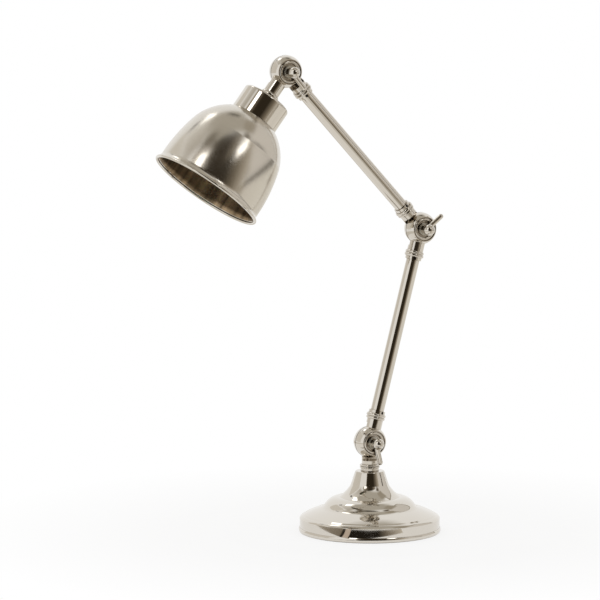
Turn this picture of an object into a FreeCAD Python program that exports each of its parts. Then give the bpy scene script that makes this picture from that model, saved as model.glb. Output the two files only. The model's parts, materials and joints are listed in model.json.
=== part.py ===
"""Adjustable desk lamp: weighted base, two arms, three clamped ball knuckles, cup and domed shade.

Frame: origin at the centre of the base's underside, +Z up. The three hinge axes run along Y, the arms lie
in the XZ plane and the clamp keys face -Y. Lengths are millimetres, angles are degrees. A lean is the angle
of an arm from +Z towards +X.
"""
import FreeCAD, Part
import math
import os
import re
import Sketcher
from FreeCAD import Vector

os.makedirs("parts", exist_ok=True)
doc = FreeCAD.newDocument("DeskLamp")

# Driving dimensions. Each one is a cell of the sheet with an alias of the same name.
SIZES = {
    # stance
    "base_joint_height": 95.7,
    "arm_length": 231,
    "lower_arm_angle": 14.8,
    "upper_arm_angle": -42.8,
    "shade_angle": -142.6,
    "base_key_turn": 166,
    "elbow_key_turn": 52,
    "head_key_turn": 140,
    # fits
    "fit_gap": 0.05,
    "seat_gap": 0.3,
    # base shell: radii and heights of its outline
    "base_radius": 75,
    "bead_depth": 0.8,
    "bead_height": 5.5,
    "bead_bend": 4.3,
    "skirt_inset": 1,
    "skirt_height": 15,
    "shoulder_inset": 4,
    "shoulder_height": 18,
    "shoulder_bend": 7.5,
    "dome_foot_inset": 1.7,
    "dome_foot_height": 19.2,
    "dome_bend": 105,
    "dome_width": 16.3,
    "dome_top_height": 25.8,
    "valley_width": 4.5,
    "valley_rise": 3.3,
    "valley_bend": 8,
    "ring_width": 15.3,
    "ring_rise": 8.4,
    "ring_bend": 17.8,
    "flare_bend": 35.6,
    "bell_foot_radius": 19.7,
    "bell_length": 14.3,
    "bell_top_radius": 15.1,
    "bell_edge": 1.3,
    "bell_seat": 30.7,
    "shell_wall": 1.2,
    "shell_lift": 0.5,
    # base inside
    "felt_thickness": 1.5,
    "felt_inset": 2.5,
    "cover_thickness": 1.5,
    "cover_screw_count": 3,
    "cover_screw_circle": 48,
    "cover_screw_radius": 1.5,
    "cover_screw_length": 9,
    "ballast_gap": 0.8,
    "cavity_radius": 27,
    "cavity_roof": 19,
    "channel_width": 9,
    "channel_height": 11.5,
    "nipple_radius": 5,
    "nipple_bore": 3.5,
    "nipple_foot": 12,
    "nut_flats": 17,
    "nut_height": 5,
    "washer_radius": 9,
    "washer_thickness": 1.4,
    "bush_height": 10.2,
    "bush_radius": 3.9,
    "bush_bore": 2.9,
    "bush_length": 8,
    "bush_flange_radius": 5,
    "bush_flange_thickness": 2,
    "block_width": 18,
    "block_depth": 12,
    "block_height": 8,
    "block_start": 12,
    "block_screw_radius": 1.5,
    "block_screw_spacing": 8,
    "block_screw_length": 3.5,
    # ball knuckle
    "ball_radius": 17,
    "parting_gap": 0.8,
    "face_depth": 10.6,
    "face_groove_outer": 12.6,
    "face_groove_inner": 11.7,
    "face_groove_depth": 1,
    "face_ring_inner": 8.9,
    "face_ring_rise": 0.3,
    "face_ring_crown": 0.8,
    "dish_depth": 9.9,
    "dish_groove_inner": 6.9,
    "dish_groove_depth": 1.4,
    "pivot_radius": 3,
    "chamber_inner": 5,
    "chamber_outer": 11,
    "chamber_depth": 5.4,
    "port_radius": 2.8,
    "port_offset": 4.6,
    "neck_radius": 8.5,
    "slot_reach": 19.6,
    "port_floor": 1.2,
    "friction_washer_inner": 11.4,
    "friction_washer_outer": 16.2,
    # arm necks and tubes
    "socket_start": 22,
    "collar_start": 24.5,
    "collar_middle": 27.2,
    "collar_end": 30.6,
    "collar_root": 9.3,
    "collar_bend": 1.85,
    "ring_collar_bend": 2.1,
    "sleeve_radius": 8.6,
    "sleeve_end": 33.8,
    "tube_radius": 7,
    "tube_wall": 1,
    "set_screw_place": 32.3,
    "set_screw_radius": 1.5,
    "set_screw_turn": 16,
    "set_screw_length": 1.4,
    "lead_radius": 2.5,
    # base neck
    "base_collar_start": 23.6,
    "base_collar_end": 27.8,
    "base_collar_rise": 1.1,
    "base_ring_radius": 9.6,
    # head neck
    "foot_ring_start": 28,
    "foot_ring_radius": 10,
    "foot_ring_bend": 2.6,
    # clamp key, distances along the hinge axis from the middle of the knuckle
    "hub_start": 11,
    "hub_radius": 5.1,
    "hub_rim": 11.8,
    "boss_radius": 4.2,
    "boss_place": 14.2,
    "nose_radius": 6,
    "nose_place": 20.5,
    "lever_root_radius": 1.9,
    "lever_start": 5.3,
    "lever_start_radius": 2.8,
    "lever_end_radius": 2.7,
    "lever_reach": 24,
    "spring_washer_radius": 6.4,
    "cap_nut_flats": 10,
    "cap_nut_height": 4.5,
    "cap_nut_dome": 4.6,
    "key_screw_start": -17,
    "key_screw_end": 16.3,
    "key_screw_point": 0.6,
    # lamp cup
    "cup_start": 33,
    "cup_end": 60.8,
    "cup_radius": 26,
    "cup_wall": 1.2,
    "cup_flat_radius": 12,
    "cup_shoulder_radius": 23.6,
    "cup_shoulder_drop": 1.4,
    "cup_shoulder_bend": 2.6,
    "cup_corner_drop": 4,
    # shade
    "shade_start": 61.2,
    "shade_neck_radius": 27,
    "crown_bend": 57,
    "side_bend": 171,
    "lip_bend": 8,
    "crown_end": 91,
    "crown_end_radius": 51.4,
    "skirt_end": 143,
    "skirt_end_radius": 58.4,
    "shade_wall": 1,
    "rim_place": 149.5,
    "rim_radius": 60,
    "rim_bead": 1.6,
    # lampholder and bulb
    "lock_nut_height": 4,
    "holder_radius": 19.5,
    "holder_cap_collar": 8.5,
    "holder_cap_end": 52,
    "holder_cap_wall": 2,
    "holder_thread_radius": 20,
    "holder_end": 78,
    "holder_flange_radius": 23.5,
    "holder_flange_thickness": 3,
    "holder_web": 3,
    "shade_ring_radius": 24.5,
    "shade_ring_height": 6,
    "screw_shell_radius": 13.6,
    "screw_shell_wall": 0.5,
    "screw_shell_length": 20,
    "contact_radius": 4,
    "contact_thickness": 1.4,
    "bulb_cap_radius": 13,
    "bulb_cap_length": 24,
    "bulb_cap_wall": 0.5,
    "bulb_contact_radius": 4.5,
    "bulb_insulator_height": 3,
    "globe_radius": 22.5,
    "globe_centre": 105,
    "globe_neck_radius": 12,
    "globe_wall": 1,
}

# Dimensions that follow from the driving ones, as formulas of their names.
DERIVED = {
    "elbow_x": "arm_length * sin(lower_arm_angle)",
    "elbow_z": "base_joint_height + arm_length * cos(lower_arm_angle)",
    "head_x": "elbow_x + arm_length * sin(upper_arm_angle)",
    "head_z": "elbow_z + arm_length * cos(upper_arm_angle)",
    "skirt_radius": "base_radius - skirt_inset",
    "bead_radius": "base_radius - bead_depth",
    "shoulder_radius": "skirt_radius - shoulder_inset",
    "dome_foot_radius": "shoulder_radius - dome_foot_inset",
    "dome_top_radius": "dome_foot_radius - dome_width",
    "ring_foot_radius": "dome_top_radius - valley_width",
    "ring_foot_height": "dome_top_height + valley_rise",
    "ring_top_radius": "ring_foot_radius - ring_width",
    "ring_top_height": "ring_foot_height + ring_rise",
    "bell_height": "base_joint_height - bell_seat",
    "bell_foot_height": "bell_height - bell_length",
    "cover_top": "felt_thickness + cover_thickness",
    "cover_radius": "base_radius - felt_inset",
    "ballast_inset": "shell_wall + ballast_gap",
    "nipple_hole": "nipple_radius + fit_gap",
    "half_gap": "parting_gap / 2",
    "ball_edge": "sqrt(ball_radius ^ 2 - half_gap ^ 2)",
    "face_radius": "sqrt(ball_radius ^ 2 - face_depth ^ 2)",
    "ring_edge": "face_depth + face_ring_rise - face_ring_crown",
    "ring_crown_bend": "((face_groove_inner - face_ring_inner) ^ 2 / 4 + face_ring_crown ^ 2) / (2 * face_ring_crown)",
    "base_bead_width": "(base_collar_end - base_collar_start) / 2",
    "base_bead_bend": "(base_bead_width ^ 2 / 4 + base_collar_rise ^ 2) / (2 * base_collar_rise)",
    "pivot_hole": "pivot_radius + fit_gap",
    "tube_start": "socket_start + fit_gap",
    "tube_length": "arm_length - 2 * tube_start",
    "bore_start": "slot_reach + port_floor",
    "lead_start": "bore_start + seat_gap",
    "block_middle": "cover_top + block_height / 2",
    "shade_plate": "shade_start + shade_wall",
    "holder_cap_start": "cup_start + cup_wall + washer_thickness + lock_nut_height + seat_gap",
    "contact_place": "holder_cap_end + holder_web",
    "bulb_start": "contact_place + contact_thickness + fit_gap",
    "screw_shell_start": "contact_place + 2 * contact_thickness",
    "bulb_cap_end": "bulb_start + bulb_cap_length",
}

JOINTS = {
    "base": ("0", "base_joint_height"),
    "elbow": ("elbow_x", "elbow_z"),
    "head": ("head_x", "head_z"),
    "floor": ("0", "0"),
}

# The set screws point from -Y a little to one side; a quarter turn about this axis lays them so.
SET_SCREW_AXIS = ("cos(set_screw_turn)", "sin(set_screw_turn)", "0")

sheet = doc.addObject("Spreadsheet::Sheet", "Sizes")
for row, (size_name, size) in enumerate(SIZES.items(), 1):
    sheet.set(f"A{row}", size_name)
    sheet.set(f"B{row}", str(size))
    sheet.setAlias(f"B{row}", size_name)
doc.recompute()


def formula(text):
    """Write a formula of size names as a FreeCAD expression that reads the sheet."""
    def expand(match):
        word = match[0]
        if word in DERIVED:
            return "(" + formula(DERIVED[word]) + ")"
        return "Sizes." + word if word in SIZES else word
    return re.sub(r"[a-z]+(?:_[a-z]+)*", expand, str(text))


def value(text):
    """Number that a formula gives with the sheet's present sizes."""
    return float(sheet.evalExpression(formula(text)))


def bind(feature, **properties):
    """Tie properties of a feature to formulas."""
    for name, text in properties.items():
        feature.setExpression(name, formula(text))


def placement(x, y, z, turn="0", axis=(0, 1, 0)):
    """Expression of a placement: a point, and a turn about an axis."""
    along = "; ".join(formula(part) for part in axis)
    spot = "; ".join(formula(part) for part in (x, y, z))
    return (f"create(<<placement>>; create(<<vector>>; {spot}); "
            f"create(<<rotation>>; create(<<vector>>; {along}); {formula(turn)}))")


def place(feature, joint, lean="0"):
    """Put a finished sub-part at a joint, with its own +Z turned to a lean."""
    x, z = JOINTS[joint]
    feature.setExpression("Placement", placement(x, "0", z, lean))
    return feature


# ---- sketches and features -------------------------------------------------------------------------------

def arc_geometry(start, end, radius):
    """Arc shorter than a half circle, anticlockwise from start to end when the radius is positive."""
    chord = end - start
    normal = Vector(-chord.y, chord.x, 0) / chord.Length
    rise = math.sqrt(max(radius ** 2 - chord.Length ** 2 / 4, 0)) * math.copysign(1, radius)
    centre = (start + end) / 2 + normal * rise
    first, last = (start, end) if radius > 0 else (end, start)
    angles = [math.atan2(point.y - centre.y, point.x - centre.x) for point in (first, last)]
    return Part.ArcOfCircle(Part.Circle(centre, Vector(0, 0, 1), abs(radius)), *angles)


def draw(body, plane, outline):
    """Closed sketch on an origin plane. Each point is (across, up), or (across, up, radius) for an arc to the
    next point, bulging to the right of the way when the radius is positive."""
    sketch = body.newObject("Sketcher::SketchObject", body.Name + "Sketch")
    support = [item for item in body.Origin.OriginFeatures if item.Role == plane][0]
    sketch.AttachmentSupport = [(support, "")]
    sketch.MapMode = "FlatFace"
    corners = [Vector(value(point[0]), value(point[1]), 0) for point in outline]
    ends = []
    for index, point in enumerate(outline):
        corner, following = corners[index], corners[(index + 1) % len(corners)]
        if len(point) == 2:
            sketch.addGeometry(Part.LineSegment(corner, following), False)
            ends.append((1, 2))
        else:
            bend = value(point[2])
            sketch.addGeometry(arc_geometry(corner, following, bend), False)
            ends.append((1, 2) if bend > 0 else (2, 1))
    for index, point in enumerate(outline):
        following = (index + 1) % len(outline)
        sketch.addConstraint(
            Sketcher.Constraint("Coincident", index, ends[index][1], following, ends[following][0]))
    for index, point in enumerate(outline):
        pins = [("DistanceX", "across", point[0]), ("DistanceY", "up", point[1])]
        for kind, name, text in pins:
            number = sketch.addConstraint(
                Sketcher.Constraint(kind, -1, 1, index, ends[index][0], value(text)))
            sketch.renameConstraint(number, f"{name}{index}")
            sketch.setExpression(f"Constraints.{name}{index}", formula(text))
        if len(point) == 3:
            number = sketch.addConstraint(Sketcher.Constraint("Radius", index, abs(value(point[2]))))
            sketch.renameConstraint(number, f"bend{index}")
            sketch.setExpression(f"Constraints.bend{index}", f"abs({formula(point[2])})")
    return sketch


def new_body(label):
    """Empty body of one sub-part."""
    body = doc.addObject("PartDesign::Body", "Body")
    body.Label = label
    return body


def turned(body, outline, axis="Z", cut=False):
    """Solid or groove of revolution about the body's Z or Y axis. The outline is (radius, along the axis)."""
    sketch = draw(body, "XZ_Plane" if axis == "Z" else "XY_Plane", outline)
    feature = body.newObject("PartDesign::Groove" if cut else "PartDesign::Revolution", "Turned")
    feature.Profile = sketch
    feature.ReferenceAxis = (sketch, ["V_Axis"])
    feature.Angle = 360
    doc.recompute()
    return feature


def drill(body, radius, length, spot, axis=(0, 0, 1), turn="0"):
    """Round hole from a point, along the body's Z or turned about an axis."""
    hole = body.newObject("PartDesign::SubtractiveCylinder", "Drill")
    bind(hole, Radius=radius, Height=length)
    hole.setExpression("Placement", placement(*spot, turn, axis))
    doc.recompute()
    return hole


def cut_box(body, size, spot):
    """Box-shaped cut, given by its size and its lowest corner."""
    box = body.newObject("PartDesign::SubtractiveBox", "Cut")
    bind(box, Length=size[0], Width=size[1], Height=size[2])
    box.setExpression("Placement", placement(*spot))
    doc.recompute()
    return box


def add_hex(body, flats, height, spot, axis=(0, 0, 1), turn="0"):
    """Hexagonal prism by its width across flats."""
    prism = body.newObject("PartDesign::AdditivePrism", "Hexagon")
    prism.Polygon = 6
    bind(prism, Circumradius=f"({flats}) / (2 * cos(30))", Height=height)
    prism.setExpression("Placement", placement(*spot, turn, axis))
    doc.recompute()
    return prism


def hollow(body, wall, height):
    """Shell a turned body, leaving it open at its flat face of the given height."""
    level = value(height)
    tip = body.Tip
    faces = [f"Face{number}" for number, face in enumerate(tip.Shape.Faces, 1)
             if abs(face.BoundBox.ZMin - level) < 1e-4 and face.BoundBox.ZLength < 1e-4]
    shell = body.newObject("PartDesign::Thickness", "Hollow")
    shell.Base = (tip, faces)
    bind(shell, Value=wall)
    shell.Mode = "Skin"
    shell.Join = "Intersection"
    shell.Reversed = True
    body.Tip = shell
    doc.recompute()
    return shell


def round_edge(body, edge_radius, height, bend):
    """Fillet a turned body's circular edge of the given radius and height."""
    level, reach = value(height), value(edge_radius)
    tip = body.Tip
    edges = [f"Edge{number}" for number, edge in enumerate(tip.Shape.Edges, 1)
             if abs(edge.BoundBox.ZMin - level) < 1e-4 and edge.BoundBox.ZLength < 1e-4
             and abs(edge.BoundBox.XMax - reach) < 1e-4]
    fillet = body.newObject("PartDesign::Fillet", "Rounding")
    fillet.Base = (tip, edges)
    bind(fillet, Radius=bend)
    body.Tip = fillet
    doc.recompute()
    return fillet


def pipe(label, radius, start, end):
    """Plain round rod along the part's own Z."""
    rod = doc.addObject("Part::Cylinder", "Rod")
    rod.Label = label
    bind(rod, Radius=radius, Height=f"({end}) - ({start})")
    rod.setExpression("Placement", placement("0", "0", start))
    return rod


def group(label, members):
    """Separate equal solids that share one name."""
    compound = doc.addObject("Part::Compound", "Group")
    compound.Label = label
    compound.Links = members
    doc.recompute()
    return compound


# ---- ball knuckles ---------------------------------------------------------------------------------------

def ball_half(body, side):
    """Half ball with its stepped outer face. It lies on the +Y side (1) or the -Y side (-1)."""
    deep = f"{side} * "
    turned(body, [
        ("0", deep + "half_gap"),
        ("ball_edge", deep + "half_gap", deep + "ball_radius"),
        ("face_radius", deep + "face_depth"),
        ("face_groove_outer", deep + "face_depth"),
        ("face_groove_outer", deep + "(face_depth - face_groove_depth)"),
        ("face_groove_inner", deep + "(face_depth - face_groove_depth)"),
        ("face_groove_inner", deep + "ring_edge", deep + "ring_crown_bend"),
        ("face_ring_inner", deep + "ring_edge"),
        ("face_ring_inner", deep + "(dish_depth - dish_groove_depth)"),
        ("dish_groove_inner", deep + "(dish_depth - dish_groove_depth)"),
        ("dish_groove_inner", deep + "dish_depth"),
        ("0", deep + "dish_depth"),
    ], axis="Y")


def knuckle(label, side, neck, bore_end):
    """One casting of a ball knuckle, with its neck along +Z. neck is the outline beyond the plain neck."""
    body = new_body(label)
    turned(body, [("0", "0"), ("neck_radius", "0")] + neck)
    far_side = "-neck_radius - fit_gap" if side > 0 else "-half_gap"
    cut_box(body, ("3 * neck_radius", "neck_radius + half_gap + fit_gap", "slot_reach + neck_radius"),
            ("-1.5 * neck_radius", far_side, "-neck_radius"))
    ball_half(body, side)
    chamber = [
        ("chamber_inner", "0"),
        ("chamber_outer", "0"),
        ("chamber_outer", f"{side} * chamber_depth"),
        ("chamber_inner", f"{side} * chamber_depth"),
    ]
    turned(body, chamber, axis="Y", cut=True)
    drill(body, "pivot_hole", "2 * ball_radius", ("0", "ball_radius", "0"), axis=(1, 0, 0), turn="90")
    drill(body, "port_radius", "socket_start - chamber_inner - port_radius",
          ("0", f"{side} * port_offset", "chamber_inner + port_radius"))
    drill(body, "port_radius", f"({bore_end}) - bore_start", ("0", "0", "bore_start"))
    return body


def arm_neck():
    """Outline of an arm knuckle's neck: two-bead collar and the sleeve that holds the tube."""
    return [
        ("neck_radius", "collar_start"),
        ("collar_root", "collar_start", "collar_bend"),
        ("collar_root", "collar_middle", "ring_collar_bend"),
        ("collar_root", "collar_end"),
        ("sleeve_radius", "collar_end"),
        ("sleeve_radius", "sleeve_end"),
        ("0", "sleeve_end"),
    ]


def arm_knuckle(label, side):
    """Knuckle casting at an arm's end, with the tube's socket and the set screw's hole."""
    body = knuckle(label, side, arm_neck(), "sleeve_end")
    drill(body, "tube_radius + fit_gap", "sleeve_end", ("0", "0", "socket_start"))
    drill(body, "set_screw_radius + fit_gap", "sleeve_radius", ("0", "0", "set_screw_place"),
          axis=SET_SCREW_AXIS, turn="90")
    return body


def base_knuckle():
    """Knuckle casting that stands on the base's bell, screwed on the threaded tube."""
    neck = [
        ("neck_radius", "base_collar_start"),
        ("base_ring_radius", "base_collar_start", "base_bead_bend"),
        ("base_ring_radius", "base_collar_start + base_bead_width", "base_bead_bend"),
        ("base_ring_radius", "base_collar_end"),
        ("base_ring_radius", "bell_seat"),
        ("0", "bell_seat"),
    ]
    body = knuckle("base_knuckle", 1, neck, "bell_seat")
    drill(body, "nipple_hole", "bell_seat", ("0", "0", "socket_start"))
    return place(body, "base", "180")


def head_knuckle():
    """Knuckle casting that carries the lamp cup, screwed on the threaded tube."""
    neck = [
        ("neck_radius", "foot_ring_start", "foot_ring_bend"),
        ("neck_radius", "cup_start - seat_gap"),
        ("foot_ring_radius", "cup_start - seat_gap"),
        ("foot_ring_radius", "cup_start"),
        ("0", "cup_start"),
    ]
    body = knuckle("head_knuckle", -1, neck, "cup_start")
    drill(body, "nipple_hole", "cup_start", ("0", "0", "socket_start"))
    return place(body, "head", "shade_angle")


def friction_washer(joint):
    """Fibre ring between the two halves of a ball."""
    body = new_body(joint + "_friction_washer")
    turned(body, [
        ("friction_washer_inner", "-half_gap + fit_gap"),
        ("friction_washer_outer", "-half_gap + fit_gap"),
        ("friction_washer_outer", "half_gap - fit_gap"),
        ("friction_washer_inner", "half_gap - fit_gap"),
    ], axis="Y")
    return place(body, joint)


def cap_nut(joint):
    """Domed nut on the back face, which the key's screw turns in."""
    body = new_body(joint + "_cap_nut")
    add_hex(body, "cap_nut_flats", "cap_nut_height", ("0", "dish_depth", "0"), axis=(1, 0, 0), turn="-90")
    turned(body, [
        ("0", "dish_depth"),
        ("cap_nut_dome", "dish_depth"),
        ("cap_nut_dome", "dish_depth + cap_nut_height", "cap_nut_dome"),
        ("0", "dish_depth + cap_nut_height + cap_nut_dome"),
    ], axis="Y")
    drill(body, "pivot_hole", "key_screw_end + seat_gap", ("0", "0", "0"), axis=(1, 0, 0), turn="-90")
    return place(body, joint)


def key_screw(joint, turn):
    """Steel screw of the key, held in its hub by the lever's root, and screwed into the cap nut."""
    body = new_body(joint + "_key_screw")
    turned(body, [
        ("0", "key_screw_start"),
        ("pivot_radius - key_screw_point", "key_screw_start"),
        ("pivot_radius", "key_screw_start + key_screw_point"),
        ("pivot_radius", "key_screw_end - key_screw_point"),
        ("pivot_radius - key_screw_point", "key_screw_end"),
        ("0", "key_screw_end"),
    ], axis="Y")
    drill(body, "lever_root_radius + fit_gap", "2 * boss_radius", ("0", "-boss_place", "seat_gap"))
    return place(body, joint, turn)


def key_hub(joint, turn):
    """Turned head of the key: flange, boss for the lever, and ball nose."""
    body = new_body(joint + "_key_hub")
    turned(body, [
        ("0", "-hub_start"),
        ("hub_radius", "-hub_start"),
        ("hub_radius", "-hub_rim"),
        ("boss_radius", "-hub_rim"),
        ("boss_radius", "-nose_place + sqrt(nose_radius ^ 2 - boss_radius ^ 2)", "-nose_radius"),
        ("nose_radius", "-nose_place", "-nose_radius"),
        ("0", "-nose_place - nose_radius"),
    ], axis="Y")
    drill(body, "pivot_hole", "-key_screw_start - hub_start + fit_gap", ("0", "-hub_start", "0"),
          axis=(1, 0, 0), turn="90")
    drill(body, "lever_root_radius + fit_gap", "2 * boss_radius", ("0", "-boss_place", "seat_gap"))
    return place(body, joint, turn)


def key_lever(joint, turn):
    """Tapered rod with a round end, driven into the key's boss and screw."""
    body = new_body(joint + "_key_lever")
    turned(body, [
        ("0", "seat_gap + fit_gap"),
        ("lever_root_radius", "seat_gap + fit_gap"),
        ("lever_root_radius", "lever_start"),
        ("lever_start_radius", "lever_start"),
        ("lever_end_radius", "lever_reach - lever_end_radius", "lever_end_radius"),
        ("0", "lever_reach"),
    ])
    x, z = JOINTS[joint]
    body.setExpression("Placement", placement(x, "-boss_place", z, turn))
    return body


def key_washer(joint, turn):
    """Spring washer under the key's hub."""
    body = new_body(joint + "_key_washer")
    turned(body, [
        ("pivot_hole", "-dish_depth - fit_gap"),
        ("spring_washer_radius", "-dish_depth - fit_gap"),
        ("spring_washer_radius", "-hub_start + fit_gap"),
        ("pivot_hole", "-hub_start + fit_gap"),
    ], axis="Y")
    return place(body, joint, turn)


def knuckle_hardware():
    """Key, washers and nut of each of the three knuckles."""
    pieces = []
    for joint in ("base", "elbow", "head"):
        turn = joint + "_key_turn"
        pieces += [friction_washer(joint), cap_nut(joint)]
        pieces += [key_screw(joint, turn), key_hub(joint, turn)]
        pieces += [key_lever(joint, turn), key_washer(joint, turn)]
    return pieces


# ---- arms ------------------------------------------------------------------------------------------------

def arm_tube(label):
    """Straight tube between the two knuckle sockets of an arm."""
    body = new_body(label)
    turned(body, [
        ("tube_radius - tube_wall", "tube_start"),
        ("tube_radius", "tube_start"),
        ("tube_radius", "tube_start + tube_length"),
        ("tube_radius - tube_wall", "tube_start + tube_length"),
    ])
    return body


def set_screw_placement(distance, height, turn):
    """Expression of a placement on a set screw's axis, at a distance from the arm's middle line."""
    return placement(f"({distance}) * sin({turn})", f"-({distance}) * cos({turn})", height,
                     "90", (f"cos({turn})", f"sin({turn})", "0"))


def set_screws(label):
    """Socket set screws that clamp the tube in its two sleeves."""
    screws = []
    foot = "tube_radius + fit_gap"
    socket = foot + " + set_screw_length / 2"
    seats = [("set_screw_place", "set_screw_turn"), ("arm_length - set_screw_place", "-set_screw_turn")]
    for height, turn in seats:
        stud = doc.addObject("Part::Cylinder", "Stud")
        bind(stud, Radius="set_screw_radius", Height="set_screw_length")
        stud.setExpression("Placement", set_screw_placement(foot, height, turn))
        key_hole = doc.addObject("Part::Prism", "KeyHole")
        key_hole.Polygon = 6
        bind(key_hole, Circumradius="set_screw_radius / 2", Height="set_screw_length")
        key_hole.setExpression("Placement", set_screw_placement(socket, height, turn))
        screw = doc.addObject("Part::Cut", "SetScrew")
        screw.Base = stud
        screw.Tool = key_hole
        screws.append(screw)
    return group(label, screws)


def arm(name, side_low, side_high, joint_low, joint_high):
    """Pieces of one arm. The sides say which half of each ball belongs to the arm."""
    lean = name + "_angle"
    return [
        place(arm_knuckle(name + "_foot_knuckle", side_low), joint_low, lean),
        place(arm_knuckle(name + "_top_knuckle", side_high), joint_high, lean + " + 180"),
        place(arm_tube(name + "_tube"), joint_low, lean),
        place(set_screws(name + "_set_screws"), joint_low, lean),
        place(group(name + "_lead", [pipe("lead", "lead_radius", "lead_start", "arm_length - lead_start")]),
              joint_low, lean),
    ]


# ---- base ------------------------------------------------------------------------------------------------

def base_outline():
    """Outer outline of the base from its bottom bead up to the bell's top."""
    return [
        ("bead_radius", "shell_lift", "bead_bend"),
        ("bead_radius", "bead_height"),
        ("skirt_radius", "bead_height"),
        ("skirt_radius", "skirt_height", "shoulder_bend"),
        ("shoulder_radius", "shoulder_height"),
        ("dome_foot_radius", "dome_foot_height", "dome_bend"),
        ("dome_top_radius", "dome_top_height", "-valley_bend"),
        ("ring_foot_radius", "ring_foot_height", "ring_bend"),
        ("ring_top_radius", "ring_top_height", "-flare_bend"),
        ("bell_foot_radius", "bell_foot_height"),
        ("bell_top_radius", "bell_height"),
        ("0", "bell_height"),
    ]


def base_shell():
    """Spun shell: bead, skirt, shoulder, dome, ring and bell."""
    body = new_body("base_shell")
    turned(body, [("0", "shell_lift")] + base_outline())
    hollow(body, "shell_wall", "shell_lift")
    round_edge(body, "bell_top_radius", "bell_height", "bell_edge")
    drill(body, "nipple_hole", "bell_height", ("0", "0", "ring_top_height"))
    drill(body, "bush_radius + fit_gap", "base_radius", ("0", "0", "bush_height"), axis=(1, 0, 0), turn="-90")
    return body


def base_ballast():
    """Cast iron weight under the shell, with the wiring cavity and the cord's channel."""
    body = new_body("base_ballast")
    turned(body, [
        ("0", "cover_top"),
        ("skirt_radius - shell_wall - seat_gap", "cover_top"),
        ("skirt_radius - shell_wall - seat_gap", "skirt_height - ballast_inset"),
        ("shoulder_radius - ballast_inset", "shoulder_height - ballast_inset"),
        ("dome_foot_radius - ballast_inset", "dome_foot_height - ballast_inset"),
        ("dome_top_radius", "dome_top_height - ballast_inset"),
        ("ring_foot_radius - ballast_inset", "ring_foot_height - ballast_inset"),
        ("ring_top_radius", "ring_top_height - ballast_inset"),
        ("0", "ring_top_height - ballast_inset"),
    ])
    drill(body, "cavity_radius", "cavity_roof - cover_top", ("0", "0", "cover_top"))
    drill(body, "nipple_hole", "bell_height", ("0", "0", "cover_top"))
    cut_box(body, ("channel_width", "base_radius", "channel_height"),
            ("-channel_width / 2", "0", "cover_top"))
    hole = drill(body, "cover_screw_radius + fit_gap", "cover_screw_length + seat_gap",
                 ("cover_screw_circle", "0", "cover_top"))
    ring_pattern(body, hole)
    return body


def ring_pattern(body, feature):
    """Repeat a hole for each cover screw."""
    pattern = body.newObject("PartDesign::PolarPattern", "Ring")
    pattern.Originals = [feature]
    axis = [item for item in body.Origin.OriginFeatures if item.Role == "Z_Axis"][0]
    pattern.Axis = (axis, [""])
    pattern.Angle = 360
    bind(pattern, Occurrences="cover_screw_count")
    body.Tip = pattern
    doc.recompute()


def base_cover():
    """Fibre disc that closes the base from below."""
    body = new_body("base_cover")
    turned(body, [
        ("0", "felt_thickness"),
        ("cover_radius - shell_wall", "felt_thickness"),
        ("cover_radius - shell_wall", "cover_top"),
        ("0", "cover_top"),
    ])
    hole = drill(body, "cover_screw_radius * 2 + fit_gap", "cover_thickness",
                 ("cover_screw_circle", "0", "felt_thickness"))
    ring_pattern(body, hole)
    return body


def base_felt():
    """Felt pad that the lamp stands on."""
    body = new_body("base_felt")
    turned(body, [
        ("0", "0"),
        ("cover_radius", "0"),
        ("cover_radius", "shell_lift - fit_gap"),
        ("cover_radius - shell_wall", "felt_thickness"),
        ("0", "felt_thickness"),
    ])
    return body


def base_cover_screws():
    """Cheese-head screws from the cover into the ballast."""
    screws = []
    count = round(value("cover_screw_count"))
    for number in range(count):
        head = pipe("head", "cover_screw_radius * 2", "felt_thickness", "cover_top - fit_gap")
        thread = pipe("thread", "cover_screw_radius", "felt_thickness + fit_gap",
                      "cover_top + cover_screw_length")
        screw = doc.addObject("Part::Fuse", "CoverScrew")
        screw.Base = head
        screw.Tool = thread
        angle = f"{number} * 360 / cover_screw_count"
        screw.setExpression("Placement", placement(
            f"cover_screw_circle * cos({angle})", f"cover_screw_circle * sin({angle})", "0"))
        screws.append(screw)
    return group("base_cover_screws", screws)


def base_nipple():
    """Threaded tube from the wiring cavity up into the base knuckle."""
    body = new_body("base_nipple")
    top = "base_joint_height - socket_start - seat_gap"
    turned(body, [
        ("nipple_bore", "nipple_foot"),
        ("nipple_radius", "nipple_foot"),
        ("nipple_radius", top),
        ("nipple_bore", top),
    ])
    return body


def nut(label, height, start, joint, lean):
    """Hexagon nut on a threaded tube."""
    body = new_body(label)
    add_hex(body, "nut_flats", height, ("0", "0", start))
    drill(body, "nipple_hole", height, ("0", "0", start))
    return place(body, joint, lean)


def washer(label, start, joint, lean):
    """Flat washer on a threaded tube."""
    body = new_body(label)
    turned(body, [
        ("nipple_hole", start),
        ("washer_radius", start),
        ("washer_radius", start + " + washer_thickness"),
        ("nipple_hole", start + " + washer_thickness"),
    ])
    return place(body, joint, lean)


def cord_bush():
    """Bush that leads a mains cord through the skirt's rear, with its flange outside."""
    body = new_body("cord_bush")
    flange = "base_radius - bead_depth + seat_gap"
    turned(body, [
        ("bush_bore", "base_radius - bush_length"),
        ("bush_radius", "base_radius - bush_length"),
        ("bush_radius", flange),
        ("bush_flange_radius", flange),
        ("bush_flange_radius", flange + " + bush_flange_thickness"),
        ("bush_bore", flange + " + bush_flange_thickness"),
    ], axis="Y")
    body.setExpression("Placement", placement("0", "0", "bush_height"))
    return body


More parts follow.
